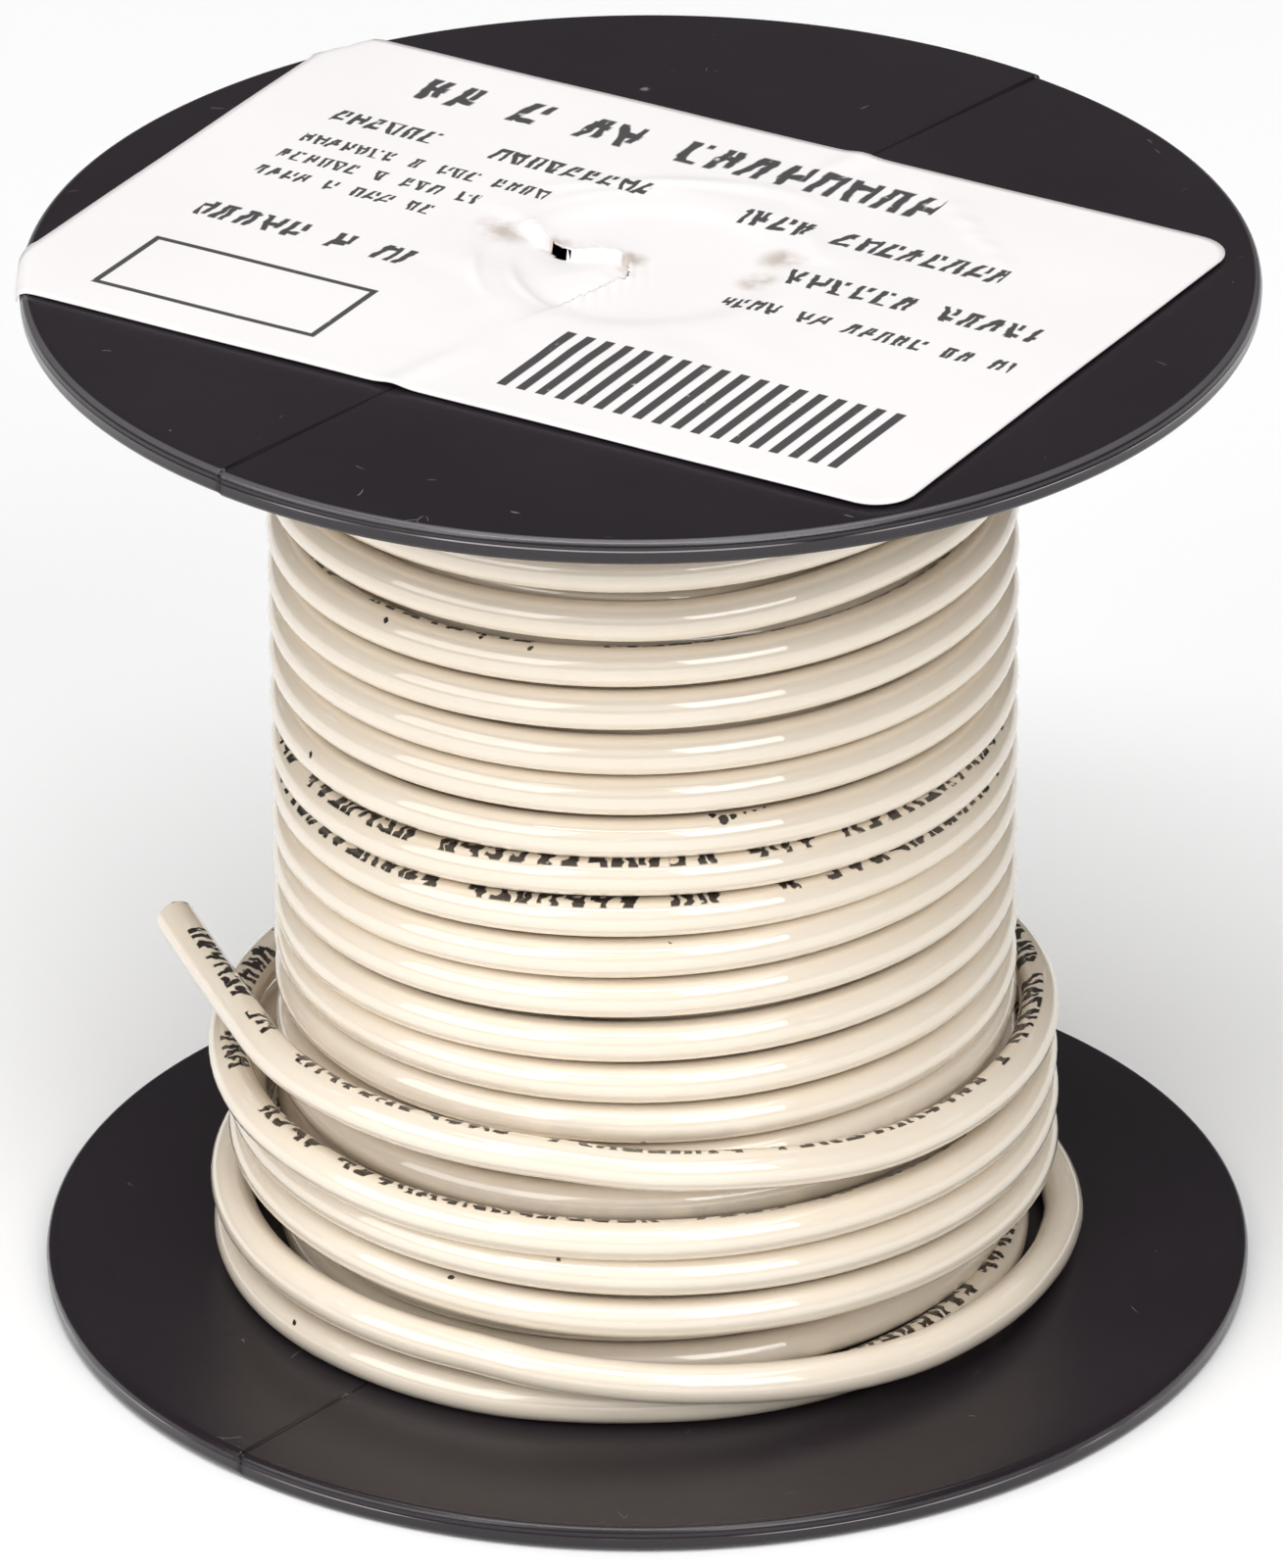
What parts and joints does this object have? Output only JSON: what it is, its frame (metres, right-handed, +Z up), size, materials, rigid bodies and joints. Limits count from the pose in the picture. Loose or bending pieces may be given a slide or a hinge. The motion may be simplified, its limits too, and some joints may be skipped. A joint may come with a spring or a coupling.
{
  "type": "spool of solid electrical wire",
  "caption": "Machine-wound coil of solid building wire on a black flanged plastic spool, with a paper label on the upper flange and one loose end.",
  "frame": {"origin": "on the spool's axis, in the plane of the lower flange's underside", "axes": "+Z up along the spool's axis, towards the labelled flange; -Y is the front seen in the picture; the loose end lies towards -X"},
  "size_m": [0.09, 0.09, 0.0818],
  "materials": {
    "spool_plastic": "satin black moulded plastic",
    "wire_jacket": "glossy ivory nylon jacket",
    "label_paper": "smooth white paper"
  },
  "bodies": {
    "root": {"spool": "spool_plastic", "wire_coil": "wire_jacket", "wire_tail": "wire_jacket", "label": "label_paper"}
  },
  "joints": []
}
